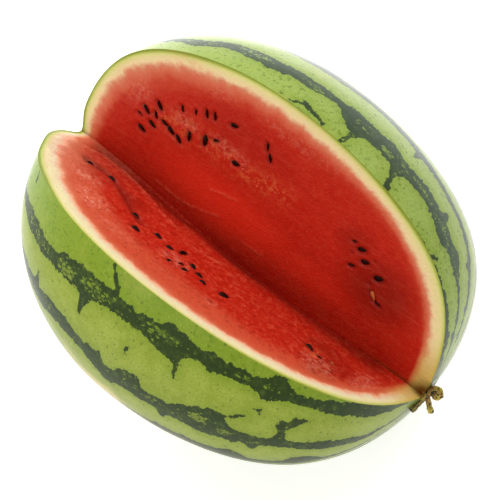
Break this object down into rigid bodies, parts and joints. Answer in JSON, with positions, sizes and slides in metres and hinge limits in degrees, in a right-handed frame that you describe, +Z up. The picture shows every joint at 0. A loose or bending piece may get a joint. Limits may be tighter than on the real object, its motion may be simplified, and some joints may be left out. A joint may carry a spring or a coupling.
{
  "type": "watermelon with a wedge cut out",
  "caption": "Oval striped watermelon with a long wedge cut out of its top, showing red flesh and dark seeds, with a dried stem; it lies on a small flat spot.",
  "frame": {"origin": "on the small flat spot that the melon lies on, straight below the middle of its widest section", "axes": "+X along the melon towards its stem end, +Y towards the steeper and taller of the two cut faces, +Z up"},
  "size_m": [0.3063, 0.2598, 0.2337],
  "materials": {
    "melon": "waxy light green skin with dark green stripes, pale rind and wet red flesh on the cut faces",
    "seed": "smooth, wet, near black with a brown edge",
    "dried_stem": "dry, ridged, yellow brown"
  },
  "bodies": {
    "root": {"melon_body": "melon", "seed_rear_01": "seed", "seed_rear_02": "seed", "seed_rear_03": "seed", "seed_rear_04": "seed", "seed_rear_05": "seed", "seed_rear_06": "seed", "seed_rear_07": "seed", "seed_rear_08": "seed", "seed_rear_09": "seed", "seed_rear_10": "seed", "seed_rear_11": "seed", "seed_rear_12": "seed", "seed_rear_13": "seed", "seed_rear_14": "seed", "seed_rear_15": "seed", "seed_rear_16": "seed", "seed_rear_17": "seed", "seed_rear_18": "seed", "seed_rear_19": "seed", "seed_rear_20": "seed", "seed_rear_21": "seed", "seed_rear_22": "seed", "seed_rear_23": "seed", "seed_rear_24": "seed", "seed_rear_25": "seed", "seed_rear_26": "seed", "seed_rear_27": "seed", "seed_front_01": "seed", "seed_front_02": "seed", "seed_front_03": "seed", "seed_front_04": "seed", "seed_front_05": "seed", "seed_front_06": "seed", "seed_front_07": "seed", "seed_front_08": "seed", "seed_front_09": "seed", "seed_front_10": "seed", "seed_front_11": "seed", "seed_front_12": "seed", "seed_front_13": "seed", "seed_front_14": "seed", "seed_front_15": "seed", "seed_front_16": "seed", "seed_front_17": "seed", "stem": "dried_stem"}
  },
  "joints": []
}
